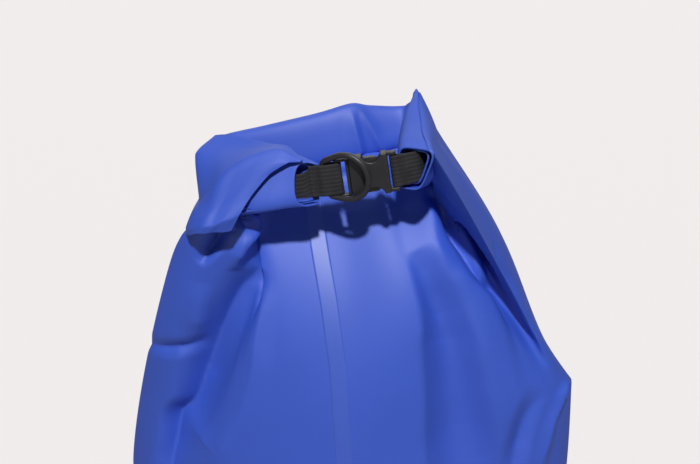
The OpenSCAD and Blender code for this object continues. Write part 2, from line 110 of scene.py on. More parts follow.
roll_line = smooth_through(ROLL_STATIONS, STATION_STEPS)
roll_run, roll_heading = run_and_heading(roll_line[:, :2])


def roll_at(t):
    """Middle, outward direction, height, thickness, sharpness and lean at shares t of the roll's run."""
    x, y, low, high, thick, sharp, lean = [np.interp(t, roll_run, column) for column in roll_line.T]
    hx, hy = [np.interp(t, roll_run, column) for column in roll_heading.T]
    size = np.hypot(hx, hy)
    out = np.stack([-hy / size, hx / size, np.zeros_like(hx)], -1)
    return np.stack([x, y, (low + high) / 2], -1), out, high - low, thick, sharp, lean


def eased(x, start, end):
    """Goes from 0 where x is start to 1 where x is end, with a soft beginning and a soft end."""
    f = np.clip((x - start) / (end - start), 0, 1)
    return f * f * (3 - 2 * f)


def signed_power(a, power):
    """A power of a number's size, with the number's sign."""
    return np.sign(a) * np.abs(a) ** power


def roll_points(t, turn, swell=0.0):
    """Points of the roll's skin: t along it, turn round its section from the outside over the top."""
    middle, out, height, thick, sharp, lean = roll_at(t)
    a = 2 * math.pi * turn
    power = SECTION_POWER + (RIGHT_END_POWER - SECTION_POWER) * eased(t, 0.92, 0.98)
    across = signed_power(np.cos(a), power)
    rise = signed_power(np.sin(a), power)
    upward = 0.5 + 0.5 * rise
    half = np.maximum(thick / 2 * (1 - sharp * upward) + swell, EDGE_HALF)
    x = across * half - lean * upward
    z = rise * (height / 2 + swell)
    return middle + out * x[:, None] + UP * z[:, None]


def new_piece(name, bm):
    """Makes a smooth mesh object of the bmesh, with its place in its mesh."""
    bmesh.ops.recalc_face_normals(bm, faces=bm.faces)
    mesh = bpy.data.meshes.new(name)
    bm.to_mesh(mesh)
    bm.free()
    piece = bpy.data.objects.new(name, mesh)
    bpy.context.scene.collection.objects.link(piece)
    for polygon in mesh.polygons:
        polygon.use_smooth = True
    return piece


def laid_grid(columns, rows, place, unit=MM):
    """A grid of faces whose points are moved to place(u, v), with u and v from 0 to 1."""
    bm = bmesh.new()
    bmesh.ops.create_grid(bm, x_segments=columns, y_segments=rows, size=0.5)
    bm.verts.ensure_lookup_table()
    flat = np.array([v.co for v in bm.verts])
    at = place(flat[:, 0] + 0.5, flat[:, 1] + 0.5) * unit
    for v, co in zip(bm.verts, at):
        v.co = co
    return bm


def normals_of(first, second):
    """Unit normals of a skin, square to two directions that lie in it."""
    normals = np.cross(first, second)
    return normals / (np.linalg.norm(normals, axis=1)[:, None] + 1e-9)


FOLD_STEPS = 8
# A fold leaves the other layer alone: it fades past this distance off the skin and ends at the next one
FOLD_DEPTH = 14
FOLD_END = 24


def fold_heights(points, normals, folds):
    """How far each fold lifts each point of a skin along its normal, all together."""
    total = np.zeros(len(points))
    for line, height, left, right, sharp in folds:
        line = smooth_through(line, FOLD_STEPS)
        reach = max(left + right) + FOLD_END
        near = np.all((points > line.min(0) - reach) & (points < line.max(0) + reach), axis=1)
        p, n = points[near], normals[near]
        best = np.full(len(p), np.inf)
        lift = np.zeros(len(p))
        for k in range(len(line) - 1):
            a, ab = line[k], line[k + 1] - line[k]
            f = np.clip((p - a) @ ab / (ab @ ab), 0, 1)
            off = p - a - f[:, None] * ab
            away = np.linalg.norm(off, axis=1)
            deep = np.einsum("ij,ij->i", off, n)
            d = np.linalg.norm(off - deep[:, None] * n, axis=1)
            to_right = np.einsum("ij,ij->i", off, np.cross(n, ab)) > 0
            along = (k + f) / (len(line) - 1)
            high, left_reach, right_reach = [
                np.interp(along, np.linspace(0, 1, len(row)), row) for row in (height, left, right)
            ]
            q = np.clip(1 - d / np.where(to_right, right_reach, left_reach), 0, 1)
            edge = np.where(to_right, sharp[1], sharp[0])
            soft = eased(q, 0, 1)
            crisp = np.where(edge > 0, q**2, 1 - (1 - q) ** 2)
            here = high * (soft + np.abs(edge) * (crisp - soft))
            here *= eased(np.abs(deep), FOLD_END, FOLD_DEPTH)
            lift = np.where(away < best, here, lift)
            best = np.minimum(away, best)
        total[near] += lift
    return total


# Folds of the roll: a line (x, y, z) drawn downwards, then, in even steps along it, its height (a valley
# if negative) and how far it reaches to the left and to the right seen from outside; last, on each side,
# how sharp its middle is, from 0 to 1, or its edge, from 0 to -1
ROLL_FOLDS = [
    # two folds in the rear, inside the ring
    ([(4, 3, 516), (5, 2, 508), (7, 3, 492), (9, 4, 480)], (0.5, 3, 3), (10, 16), (7, 7), (0.8, 0.8)),
    ([(13, 7, 514), (15, 7, 507), (20, 9, 492), (25, 11, 482)], (0.5, 3, 3), (7, 7), (8, 14), (0.8, 0.8)),
]
ROLL_STEP = 0.002


def roll_skin(t, turn, swell=0.0):
    """The roll's skin with its folds."""
    points = roll_points(t, turn, swell)
    along = roll_points(t + ROLL_STEP, turn, swell) - roll_points(t - ROLL_STEP, turn, swell)
    around = roll_points(t, turn + ROLL_STEP, swell) - roll_points(t, turn - ROLL_STEP, swell)
    normals = normals_of(around, along)
    return points + normals * fold_heights(points, normals, ROLL_FOLDS)[:, None]


def joined(bm, other):
    """Adds the other bmesh to the first."""
    mesh = bpy.data.meshes.new("joined")
    other.to_mesh(mesh)
    other.free()
    bm.from_mesh(mesh)
    bpy.data.meshes.remove(mesh)


def shell(columns, rows, place, thick):
    """A laid grid, closed where its sides meet, made into a sheet of that thickness, inward."""
    bm = laid_grid(columns, rows, place)
    bmesh.ops.remove_doubles(bm, verts=bm.verts, dist=1e-5)
    bmesh.ops.recalc_face_normals(bm, faces=bm.faces)
    bm.normal_update()
    outer = bm.verts[:]
    rim = [e for e in bm.edges if e.is_boundary]
    lining = bmesh.ops.duplicate(bm, geom=outer + bm.edges[:] + bm.faces[:])
    twin = lining["vert_map"]
    for v in outer:
        twin[v].co = v.co - v.normal * thick * MM
    bmesh.ops.reverse_faces(bm, faces=[g for g in lining["geom"] if isinstance(g, bmesh.types.BMFace)])
    for e in rim:
        a, b = e.verts
        bm.faces.new((b, a, twin[a], twin[b]))
    return bm


# The roll is cut in two at one of its stations, and its right end is a piece of its own
SPLIT_STATION = 18
SPLIT = roll_run[STATION_STEPS * SPLIT_STATION]
SKIN_T = 1.4
FLAP_T = 1.2
LINING_INSET = 3.6
RIM_DRAWN_BACK = 0.05


def left_rim(turn):
    """Where the left open end begins: its front wall is drawn back, so the rim is a lying V."""
    return RIM_DRAWN_BACK * np.clip(np.cos(2 * math.pi * turn), 0, 1) ** 0.7


def main_roll(u, v):
    """The rear of the ring and its left arm."""
    return roll_skin(left_rim(v) + u * (SPLIT - left_rim(v)), v)


def left_lining(u, v):
    """The turns inside the left open end."""
    t = 0.012 + 1.1 * left_rim(v)
    return roll_skin(t + u * (0.2 - t), v, -LINING_INSET)


def right_roll(u, v):
    """The right arm of the ring."""
    return roll_skin(SPLIT + u * (1 - SPLIT), v)


def right_lining(u, v):
    """The turns inside the right open end."""
    return roll_skin(0.93 + u * 0.06, v, -LINING_INSET)


# The outermost turn on the left arm, in rows from its top edge down to its hanging lower edge, each from
# its free edge on the right to the sharp left corner and round it to the rear
FLAP_ROWS = [
    [(-36, -78, 501), (-48, -62, 507), (-62, -52, 506), (-78, -40, 506),
     (-94, -29, 506), (-106, -21, 503), (-97, -11, 499)],
    [(-37, -79, 501), (-51, -65, 507), (-65, -57, 505), (-81, -48, 501),
     (-101, -40, 497), (-121, -32, 491), (-106, -12, 492)],
    [(-38, -79, 500), (-53, -72, 507), (-67, -71, 505), (-84, -71, 498),
     (-101, -70, 485), (-117, -57, 462), (-109, -14, 478)],
    [(-46, -80, 500), (-59, -79, 499), (-72, -78, 495), (-88, -77, 486),
     (-104, -75, 476), (-118, -60, 460), (-110, -15, 470)],
    [(-61, -81, 491), (-72, -82, 486), (-82, -82, 480), (-95, -81, 471),
     (-108, -79, 464), (-121, -64, 457), (-112, -17, 461)],
    [(-75, -85, 475), (-82, -86, 471), (-90, -86, 467), (-101, -85, 461),
     (-112, -83, 457), (-124, -66, 451), (-115, -19, 453)],
    [(-84, -89, 461), (-90, -90, 458), (-97, -90, 456), (-105, -89, 452),
     (-115, -86, 450), (-127, -68, 443), (-118, -21, 446)],
    [(-91, -87, 447), (-97, -87, 446), (-104, -87, 446), (-111, -87, 445),
     (-118, -84, 444), (-126, -67, 437), (-121, -23, 438)],
]
FLAP_STEPS = 20
# How straight the flap runs between its points, along its rows and down them
CREASE_ALONG = 0.2
CREASE_DOWN = 0.5


def bent_through(points, crease):
    """A line through the points that is partly straight between them, so that they show as creases."""
    p = np.array(points, float)
    at = np.linspace(0, len(p) - 1, (len(p) - 1) * FLAP_STEPS + 1)
    straight = np.stack([np.interp(at, np.arange(len(p)), column) for column in p.T], -1)
    return smooth_through(points, FLAP_STEPS) * (1 - crease) + straight * crease


flap_net = np.stack([bent_through(row, CREASE_ALONG) for row in FLAP_ROWS])
flap_net = np.stack([bent_through(column, CREASE_DOWN) for column in flap_net.transpose(1, 0, 2)], axis=1)


def flap(u, v):
    """Points of the flap, at shares u along its rows and v down them."""
    rows, columns = flap_net.shape[:2]
    i = v * (rows - 1)
    j = u * (columns - 1)
    i0 = np.minimum(i.astype(int), rows - 2)
    j0 = np.minimum(j.astype(int), columns - 2)
    fi = (i - i0)[:, None]
    fj = (j - j0)[:, None]
    upper = flap_net[i0, j0] * (1 - fj) + flap_net[i0, j0 + 1] * fj
    lower = flap_net[i0 + 1, j0] * (1 - fj) + flap_net[i0 + 1, j0 + 1] * fj
    return upper * (1 - fi) + lower * fi


def finish_material(name, colour, roughness, specular, grain, grain_scale, tone, tone_scale, bump):
    """A material whose tone and roughness vary a little and whose surface has a fine grain."""
    material = bpy.data.materials.new(name)
    material.use_nodes = True
    nodes, links = material.node_tree.nodes, material.node_tree.links
    shader = nodes["Principled BSDF"]
    shader.inputs["Specular IOR Level"].default_value = specular
    place = nodes.new("ShaderNodeTexCoord").outputs["Object"]
    patches = nodes.new("ShaderNodeTexNoise")
    patches.inputs["Scale"].default_value = tone_scale
    patches.inputs["Detail"].default_value = 4
    links.new(place, patches.inputs["Vector"])
    tones = nodes.new("ShaderNodeValToRGB")
    darker, lighter = tones.color_ramp.elements
    darker.position = 0.3
    lighter.position = 0.7
    darker.color = (*[c * (1 - tone) for c in colour], 1)
    lighter.color = (*[min(1, c * (1 + tone)) for c in colour], 1)
    links.new(patches.outputs["Fac"], tones.inputs["Fac"])
    links.new(tones.outputs["Color"], shader.inputs["Base Color"])
    fine = nodes.new("ShaderNodeTexNoise")
    fine.inputs["Scale"].default_value = grain_scale
    fine.inputs["Detail"].default_value = 3
    links.new(place, fine.inputs["Vector"])
    gloss = nodes.new("ShaderNodeMapRange")
    gloss.inputs["To Min"].default_value = roughness - grain
    gloss.inputs["To Max"].default_value = roughness + grain
    links.new(fine.outputs["Fac"], gloss.inputs["Value"])
    links.new(gloss.outputs["Result"], shader.inputs["Roughness"])
    relief = nodes.new("ShaderNodeBump")
    relief.inputs["Strength"].default_value = 0.5
    relief.inputs["Distance"].default_value = bump
    links.new(fine.outputs["Fac"], relief.inputs["Height"])
    links.new(relief.outputs["Normal"], shader.inputs["Normal"])
    return material


tarpaulin = finish_material(
    "tarpaulin", (0.032, 0.098, 0.600), roughness=0.58, specular=0.8,
    grain=0.06, grain_scale=1400, tone=0.05, tone_scale=14, bump=0.00008,
)


def coated_sheet(piece, node):
    """Makes a piece of coated fabric stand for its node."""
    piece.data.materials.append(tarpaulin)
    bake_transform(piece)
    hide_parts(node)


bm = shell(260, 72, main_roll, SKIN_T)
joined(bm, shell(40, 48, left_lining, SKIN_T))
joined(bm, shell(120, 120, flap, FLAP_T))
coated_sheet(new_piece("rolled_mouth_skin", bm), "rolled_mouth")

bm = shell(110, 72, right_roll, SKIN_T)
joined(bm, shell(30, 48, right_lining, SKIN_T))
coated_sheet(new_piece("right_roll_end_skin", bm), "right_roll_end")

# Bag body
# A tube of coated fabric, round where it is welded to the base. Higher up it lies flat in two layers
# between two side folds, and its top is wound into the roll, so it falls in a few sharp folds.
BASE_R = 135.0
SHOULDER_HALF_W = 183.0
SHOULDER_HALF_D = 86.0
LEFT_SHOULDER = 210.0
RIGHT_SHOULDER = 285.0
# Shares of the skin up to the shoulders and up to the roll; the rest lies over the roll's right arm
LOWER_SHARE = 0.34
UPPER_SHARE = 0.95
# Share of the height up to the shoulders that stays as round as the base
ROUND_LEVEL = 0.08
# How late the two layers come together above the shoulders, and how much sooner they do at the right
DRAW_POWER = 2.4
SOONER_MIDDLE = 1.3
SOONER_LAYERS = 1.35
# Where the outer layer meets the roll's right arm, in turns round it, at the side fold and on its top
FOLD_TURN = 0.09
OVER_TURN = 0.21
OVER_GAP = 0.9
# How far the left side bows, in plan
LEFT_BOW = np.array([-6.0, -32.0])
# How far the right side fold is tucked in and to the front, and the fullness of the rear beside it
TUCK_IN = 8.8
TUCK_FORWARD = 12.8
REAR_FULLNESS = 174.0


def shoulder_height(way):
    """Height of the shoulder, part of the way round a layer from the left side fold to the right one."""
    return LEFT_SHOULDER + (RIGHT_SHOULDER - LEFT_SHOULDER) * (1 - np.cos(math.pi * way)) / 2


def closing(share, climb):
    """How far the flat tube has turned from its straight shoulder to the ring, at a share of the climb."""
    power = DRAW_POWER - SOONER_MIDDLE * eased(share, 0.55, 0.95)
    tip = 0.41 * climb**1.3 + 0.59 * climb**22
    at_tip = eased(share, 0.22, 0.02)
    return climb**power + (tip - climb**power) * at_tip


def bag_middle(share, climb):
    """The line midway between the tube's two layers, in plan."""
    pull = closing(share, climb)[:, None]
    straight = np.stack([SHOULDER_HALF_W * (2 * share - 1), np.zeros_like(share)], -1)
    bow = LEFT_BOW * 4 * pull * (1 - pull) * eased(share, 0.20, 0)[:, None]
    return straight + (roll_at(share)[0][:, :2] - straight) * pull + bow


def bag_points(u, v):
    """Points of the bag's skin: u round it from the left side fold over the rear, v up it."""
    side = np.where(u <= 0.5, 1.0, -1.0)
    # along a layer from the left side fold to the right one, by turn and by width
    way = np.where(u <= 0.5, 2 * u, 2 * (1 - u))
    share = (1 - np.cos(math.pi * way)) / 2
    # up to the shoulders, and on from there to the roll
    level = np.clip(v / LOWER_SHARE, 0, 1)
    climb = np.clip((v - LOWER_SHARE) / (UPPER_SHARE - LOWER_SHARE), 0, 1)

    # up to the shoulders: round at the base, then wider and flatter
    still_round = 1 - np.clip((level - ROUND_LEVEL) / (1 - ROUND_LEVEL), 0, 1)
    widened = 1 - still_round**3
    flattened = 1 - still_round**2
    half_w = BASE_R + (SHOULDER_HALF_W - BASE_R) * widened
    half_d = BASE_R + (SHOULDER_HALF_D - BASE_R) * flattened
    blunt = np.where(side > 0, 0.6, 0.6 - 0.45 * eased(way, 0.5, 0.8))
    half = half_d * np.clip(np.sin(math.pi * way), 0, 1) ** (1 + blunt * widened)
    z = 1 + (shoulder_height(way) - 1) * level

    # where the two layers meet the roll
    right = eased(way, 0.4, 0.6)
    t = share + (way - share) * right
    top, top_out, height, thick, sharp, lean = roll_at(t)
    ends = eased(share, 0, 0.05) * eased(share, 1, 0.95)
    over = eased(share, 0.26, 0.34)
    outer_half = (thick * (0.5 - 0.25 * sharp) - lean / 2) * 0.97
    inner_half = 2.0 + lean / 2
    top_half = np.where(side > 0, 1.0 + (outer_half - 1.0) * over, inner_half) * ends
    top_z = top[:, 2] - height * np.where(side > 0, 0.4 * (1 - over * ends), 0.4 - 0.04 * ends)

    # left half: the layers lie on either side of their middle line, the front one fuller
    step = np.where(side > 0, 0.002, 0.06)
    ahead = bag_middle(np.clip(share + step, 0, 1), climb)
    heading = ahead - bag_middle(np.clip(share - step, 0, 1), climb)
    heading /= np.linalg.norm(heading, axis=1)[:, None]
    out = np.stack([-heading[:, 1], heading[:, 0]], -1)
    middle = bag_middle(share, climb)
    middle[:, 0] *= half_w / SHOULDER_HALF_W
    fuller = 0.3 * eased(way, 0.20, 0.40) * eased(way, 0.85, 0.60)
    fuller += eased(way, 0.50, 0.60) * eased(way, 0.80, 0.68)
    draw = DRAW_POWER + np.where(side > 0, 0.0, fuller)
    plan = middle + out * (side * (half + (top_half - half) * climb**draw))[:, None]
    left_half = np.stack([plan[:, 0], plan[:, 1], z + (top_z - z) * climb], -1)

    # right half: straight from the shoulder to the roll, the outer layer on over the arm's top
    at_fold = eased(share, 0.95, 1)
    over_arm = np.clip((v - UPPER_SHARE) / (1 - UPPER_SHARE), 0, 1) * eased(way, 0.74, 0.80)
    fold_turn = FOLD_TURN * at_fold
    outer = roll_points(t, fold_turn + (OVER_TURN - fold_turn) * over_arm, OVER_GAP)
    fold_tip = roll_points(np.array([1.0]), np.array([FOLD_TURN]), OVER_GAP)
    inner = top - top_out * inner_half[:, None]
    inner[:, 2] = top_z
    inner += (fold_tip - inner) * at_fold[:, None]
    high = np.where(side[:, None] > 0, outer, inner)
    low = np.stack([half_w * (2 * share - 1), side * half, z], -1)
    near_fold = np.where(side > 0, eased(way, 0.70, 0.95), eased(way, 0.75, 1))
    bulge = 0.33 * climb**2 * (1 - climb) * near_fold
    pull = climb ** (draw - SOONER_LAYERS * eased(way, 0.5, 0.95)) - bulge
    right_half = low + (high - low) * np.stack([pull, pull, climb], -1)
    beside_fold = np.where(side > 0, eased(way, 0.6, 0.8) * eased(way, 1, 0.9), 0)
    tuck = 4 * climb * (1 - climb) * eased(way, 0.84, 1)
    right_half[:, 0] += REAR_FULLNESS * climb**3 * (1 - climb) ** 2 * beside_fold - TUCK_IN * tuck
    right_half[:, 1] -= TUCK_FORWARD * tuck
    return left_half + (right_half - left_half) * right[:, None]


layer_u, layer_v = np.meshgrid(np.linspace(0, 0.5, 241), np.linspace(0, 1, 241))
rear_layer = bag_points(layer_u.ravel(), layer_v.ravel())
front_layer = bag_points(layer_u.ravel() + 0.5, layer_v.ravel())


def put_on(layer, line):
    """Points (x, z) put on the front or the rear of the skin."""
    return [layer[np.argmin(np.hypot(layer[:, 0] - x, layer[:, 2] - z))] for x, z in line]


# Folds of the front, given as those of the roll but with points (x, z)
FRONT_FOLDS = [
    # pocket under the hanging edge of the left flap
    ([(-84, 452), (-91, 442), (-101, 430), (-110, 420), (-118, 411)],
     (-12, -14, -14, -10, 0), (34, 22, 8), (7, 7), (0.2, 0.9)),
    # long diagonal crease that runs down to the left, deeper towards its lower end
    ([(-73, 404), (-76, 396), (-85, 384), (-103, 350), (-118, 315), (-132, 284), (-145, 268),
      (-150, 246), (-154, 225), (-157, 190), (-158, 140), (-156, 90)],
     (0, -5, -10, -15, -18, -18, -17, -15, -12, -7, -3, 0),
     (18, 30, 26, 14, 12, 18, 24), (8, 24, 38, 48, 55, 55), (1.0, 0.5)),
    # lobe between the pocket and the neck
    ([(-72, 446), (-80, 434), (-88, 420), (-92, 404)], (6, 9, 8, 0), (8, 8), (14, 14), (0.2, 0.2)),
    # front wall under the buckle, fuller there
    ([(-45, 458), (-20, 461), (10, 463), (48, 466)], (0, 10, 12, 12, 5), (30, 30), (14, 14), (0.0, 0.0)),
    # soft ridge to the left of that crease
    ([(-115, 396), (-118, 380), (-120, 360), (-121, 342)], (0, 2, 3, 0), (18, 18), (14, 14), (0.2, 0.2)),
    # ridge to the left of the seam, which turns to the left lower down
    ([(-71, 392), (-70, 378), (-74, 350), (-78, 321), (-88, 283), (-105, 245), (-118, 205)],
     (0, 3, 4, 4, 4, 0), (10, 14, 20), (16, 20, 26), (0.5, 0.5)),
    # dent in the left side
    ([(-162, 329), (-149, 331), (-136, 333), (-121, 337)],
     (-2, -5, -6, -3), (11, 11), (12, 12), (0.9, 0.9)),
    # valley to the right of the seam, with a clear left edge
    ([(50, 418), (58, 404), (68, 388), (75, 370), (80, 348), (84, 310), (88, 270), (91, 230),
      (93, 180), (94, 130), (95, 80)],
     (0, -6, -11, -15, -17, -17, -17, -14, -8, -3, 0),
     (8, 16, 26, 30, 32, 34), (16, 34, 50, 54, 54), (-0.8, 0.0)),
    # crest between that valley and the right side fold, fullest under the right end of the roll
    ([(66, 448), (64, 430), (72, 404), (82, 390), (94, 367), (102, 348), (108, 316), (115, 285),
      (122, 245), (126, 200)],
     (9, 7, 5, 5, 4, 0), (30, 18), (20, 20), (0.2, 0.3)),
    # groove behind the right side fold
    ([(66, 448), (74, 438), (82, 426), (92, 413), (103, 396), (115, 378), (126, 362), (138, 346),
      (150, 325), (160, 308)],
     (-6, -10, -12, -11, -9, -7, -5, -4, -2, 0), (12, 14, 14, 12), (7, 8, 8, 7), (0.3, 0.6)),
    # ridge and valley that run down from the pinched right corner
    ([(178, 288), (176, 285), (165, 266), (159, 244), (156, 229), (152, 190)],
     (1, 5, 5, 4, 0), (6, 16, 20), (6, 12, 16), (0.8, 0.8)),
    ([(157, 292), (145, 278), (138, 255), (135, 236), (132, 200)],
     (0, -5, -7, -6, 0), (18, 18), (14, 14), (0.2, 0.2)),
]
# Softer folds of the rear: from the right corner, from both ends of the roll and across the middle
REAR_FOLDS = [
    ([(168, 282), (150, 262), (125, 240), (95, 222), (60, 205)],
     (0, -6, -7, -4, 0), (16, 22), (14, 20), (0.6, 0.2)),
    ([(60, 450), (72, 415), (88, 375), (108, 335), (125, 300)],
     (0, -5, -7, -5, 0), (16, 22), (20, 26), (0.3, 0.3)),
    ([(-92, 445), (-104, 400), (-122, 350), (-138, 300), (-146, 250)],
     (0, -6, -8, -6, 0), (20, 26), (12, 18), (0.3, 0.7)),
    ([(-70, 440), (-68, 400), (-76, 350), (-90, 300)], (0, 4, 4, 0), (16, 24), (16, 24), (0.2, 0.2)),
    ([(-55, 292), (-20, 282), (20, 280), (60, 288)], (0, -4, -4, 0), (24, 24), (24, 24), (0.2, 0.2)),
]
BAG_FOLDS = [(put_on(front_layer, line), *shape) for line, *shape in FRONT_FOLDS]
BAG_FOLDS += [(put_on(rear_layer, line), *shape) for line, *shape in REAR_FOLDS]
BAG_STEP = 0.0015


def bag_skin(u, v):
    """The bag's skin with its folds."""
    points = bag_points(u, v)
    round_it = bag_points(np.clip(u + BAG_STEP, 0, 1), v) - bag_points(np.clip(u - BAG_STEP, 0, 1), v)
    up_it = bag_points(u, np.clip(v + BAG_STEP, 0, 1)) - bag_points(u, np.clip(v - BAG_STEP, 0, 1))
    normals = normals_of(up_it, round_it)
    return points + normals * fold_heights(points, normals, BAG_FOLDS)[:, None]


bm = laid_grid(400, 240, bag_skin)
bmesh.ops.remove_doubles(bm, verts=bm.verts, dist=1e-5)
coated_sheet(new_piece("bag_skin", bm), "body_tube")

# Lap seam
# The strip down the front where the edges of the tube's sheet lap. It is a second layer of the same
# fabric, shinier, welded on flat, and it follows the folds of the skin under it. Its colour is painted a
# little lighter than the fabric's, a painted highlight for the light it reflects.
SEAM_W = 14.0
SEAM_RISE = 0.6
SEAM_SINK = 0.1
# Its middle (x, z), from the roll down to the base
SEAM_LINE = [
    (-34, 478), (-30, 450), (-25, 422), (-17, 380), (-10, 330), (-6, 269), (-3, 200), (0, 100), (0, 0),
]


def seam_strip(across, v):
    """Points of the welded strip, which lies on the front of the skin along its own line."""
    rows = np.unique(np.round(v, 6))
    round_u = np.linspace(0.60, 0.90, 121)
    skin = bag_skin(np.tile(round_u, len(rows)), np.repeat(rows, len(round_u)))
    seam_x, seam_z = np.array(SEAM_LINE[::-1], float).T
    middle_u, u_per_mm = [], []
    for row in skin.reshape(len(rows), -1, 3):
        x = np.interp(row[:, 2].mean(), seam_z, seam_x)
        order = np.argsort(row[:, 0])
        here, beside = np.interp([x, x + 1], row[order, 0], round_u[order])
        middle_u.append(here)
        u_per_mm.append(beside - here)
    u = np.interp(v, rows, middle_u) + (across - 0.5) * SEAM_W * np.interp(v, rows, u_per_mm)
    points = bag_skin(u, v)
    round_it = bag_skin(u + BAG_STEP, v) - bag_skin(u - BAG_STEP, v)
    up_it = bag_skin(u, np.clip(v + BAG_STEP, 0, 1)) - bag_skin(u, np.clip(v - BAG_STEP, 0, 1))
    edge = eased(np.abs(across - 0.5), 0.5, 0.44)
    lift = (SEAM_RISE + SEAM_SINK) * edge - SEAM_SINK
    return points + normals_of(up_it, round_it) * lift[:, None]


seam = new_piece("lap_seam_strip", laid_grid(16, 240, seam_strip))
# painted highlight: this colour is lighter than the tarpaulin's to stand in for the light the strip
# reflects; the inside base tape shares it
seam_tape = finish_material(
    "seam_tape", (0.042, 0.110, 0.600), roughness=0.50, specular=0.9,
    grain=0.05, grain_scale=1400, tone=0.05, tone_scale=30, bump=0.00005,
)
seam.data.materials.append(seam_tape)
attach(seam, "bag")
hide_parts("lap_seam")

# Base
# The round bottom: a disc of the tube's fabric whose edge is turned up outside the tube and welded to
# it, and a tape welded over the joint on the inside.
TURN_STEPS = 128
# Radius and height along the disc's section, from its middle to the top of its turned-up edge
DISC_PROFILE = [(0, 0.4), (129, 0.4), (133, 1.2), (135.4, 4), (136, 8), (136, 19), (135.6, 20), (135, 20)]
TAPE_PROFILE = [(133.6, 2), (133.6, 16)]


def turned(profile):
    """A round sheet: the profile of its section, turned once round the bag's middle."""
    bm = bmesh.new()
    verts = [bm.verts.new((r * MM, 0, z * MM)) for r, z in profile]
    edges = [bm.edges.new(pair) for pair in zip(verts, verts[1:])]
    bmesh.ops.spin(
        bm, geom=verts + edges, cent=(0, 0, 0), axis=(0, 0, 1), angle=2 * math.pi, steps=TURN_STEPS,
        use_merge=True,
    )
    bmesh.ops.remove_doubles(bm, verts=bm.verts, dist=1e-6)
    return bm


base = new_piece("base_disc", turned(DISC_PROFILE))
base.data.materials.append(tarpaulin)
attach(base, "bag")
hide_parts("base_cup")

base_tape = new_piece("base_tape", turned(TAPE_PROFILE))
base_tape.data.materials.append(seam_tape)
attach(base_tape, "bag")
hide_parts("base_seam_tape")

# Stiffeners
# Flat strips of pale plastic inside the mouth, one on each of its sides, which keep the roll flat and
# straight. Each side has a long strip and a short one in the right end of the roll.
STRIP_T = 1.0
STRIP_HEIGHT_SHARE = 0.62
STRIP_DEPTH_SHARE = 0.2
# Where the strips begin and end, in shares of the roll's run
LONG_STRIP = (0.09, 0.76)
END_STRIP = (0.82, 0.95)
strip_plastic = finish_material(
    "strip_plastic", (0.69, 0.70, 0.72), roughness=0.5, specular=0.4,
    grain=0.05, grain_scale=900, tone=0.03, tone_scale=40, bump=0.00005,
)


def stiffener(name, ends, side):
    """A flat plastic strip inside the roll, on its outer or inner side."""

    def place(u, v):
        t = ends[0] + (ends[1] - ends[0]) * u
        middle, out, height, thick, sharp, lean = roll_at(t)
        rise = STRIP_HEIGHT_SHARE * (2 * v - 1)
        upward = 0.5 + 0.5 * rise
        off = side * STRIP_DEPTH_SHARE * thick * (1 - sharp * upward) - lean * upward
        return middle + out * off[:, None] + UP * (rise * height / 2)[:, None]

    bm = laid_grid(90, 8, place)
    bmesh.ops.solidify(bm, geom=bm.faces[:], thickness=STRIP_T * MM)
    piece = new_piece(name + "_strip", bm)
    piece.data.materials.append(strip_plastic)
    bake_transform(piece)
    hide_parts(name)


stiffener("front_stiffener", LONG_STRIP, -1)
stiffener("rear_stiffener", LONG_STRIP, 1)
stiffener("right_front_stiffener", END_STRIP, -1)
stiffener("right_rear_stiffener", END_STRIP, 1)

# Buckle
# A side-release buckle for 25 mm webbing, moulded in black acetal with a fine texture. The plug's two
# spring prongs snap into the socket's windows, and each half holds its webbing on a round bar.
BUCKLE_AT = (0.007, -0.075, 0.488)
BUCKLE_TILT = math.radians(8)
BUCKLE = Matrix.Translation(BUCKLE_AT) @ Matrix.Rotation(-BUCKLE_TILT, 4, "Y") @ Matrix.Scale(MM, 4)
PLUG_BAR_X = -16.7
SOCKET_BAR_X = 27.0
BAR_R = 2.0
BAR_HALF = 13.9
CHEEK_IN = 12.9
PLUG_HALF_W = 15.2
SOCKET_HALF_W = 16.0
PRONG_HALF_T = 2.2
HOLLOW_HALF_T = 2.9
SOCKET_HALF_T = 5.0
buckle_plastic = finish_material(
    "buckle_plastic", (0.022, 0.0215, 0.024), roughness=0.42, specular=0.5,
    grain=0.10, grain_scale=1800, tone=0.18, tone_scale=60, bump=0.00006,
)


def arc(cx, cz, r, start, end, steps):
    """Points on an arc, angles in degrees from the first axis towards the second."""
    angles = np.radians(np.linspace(start, end, steps))
    return [(cx + r * math.cos(a), cz + r * math.sin(a)) for a in angles]


def rectangle(x0, z0, x1, z1):
    """The outline of a rectangle between two corners."""
    return [(x0, z0), (x1, z0), (x1, z1), (x0, z1)]


def slab(outline, half_t, bevel):
    """A flat moulding: an outline along and up the buckle, its half thickness and its rounded edges."""
    bm = bmesh.new()
    face = bm.faces.new([bm.verts.new((x, -half_t, z)) for x, z in outline])
    lifted = bmesh.ops.extrude_face_region(bm, geom=[face])["geom"]
    moved = [g for g in lifted if isinstance(g, bmesh.types.BMVert)]
    bmesh.ops.translate(bm, verts=moved, vec=(0, 2 * half_t, 0))
    bmesh.ops.recalc_face_normals(bm, faces=bm.faces)
    if bevel:
        sharp = [e for e in bm.edges if e.calc_face_angle(0) > math.radians(40)]
        bmesh.ops.bevel(
            bm, geom=sharp, offset=bevel, affect="EDGES", segments=3,
            profile=0.5, material=-1, clamp_overlap=True,
        )
    return bm


def bar(x):
    """A round webbing bar across the buckle."""
    bm = bmesh.new()
    bmesh.ops.create_cone(
        bm, cap_ends=True, segments=32, radius1=BAR_R, radius2=BAR_R, depth=2 * BAR_HALF,
        matrix=Matrix.Translation((x, 0, 0)),
    )
    return bm


def cheeks(x0, x1, half_w, half_t, bevel):
    """The two cheeks that carry a webbing bar, one on each side of the webbing."""
    bm = slab(rectangle(x0, -half_w, x1, -CHEEK_IN), half_t, bevel)
    joined(bm, slab(rectangle(x0, CHEEK_IN, x1, half_w), half_t, bevel))
    return bm


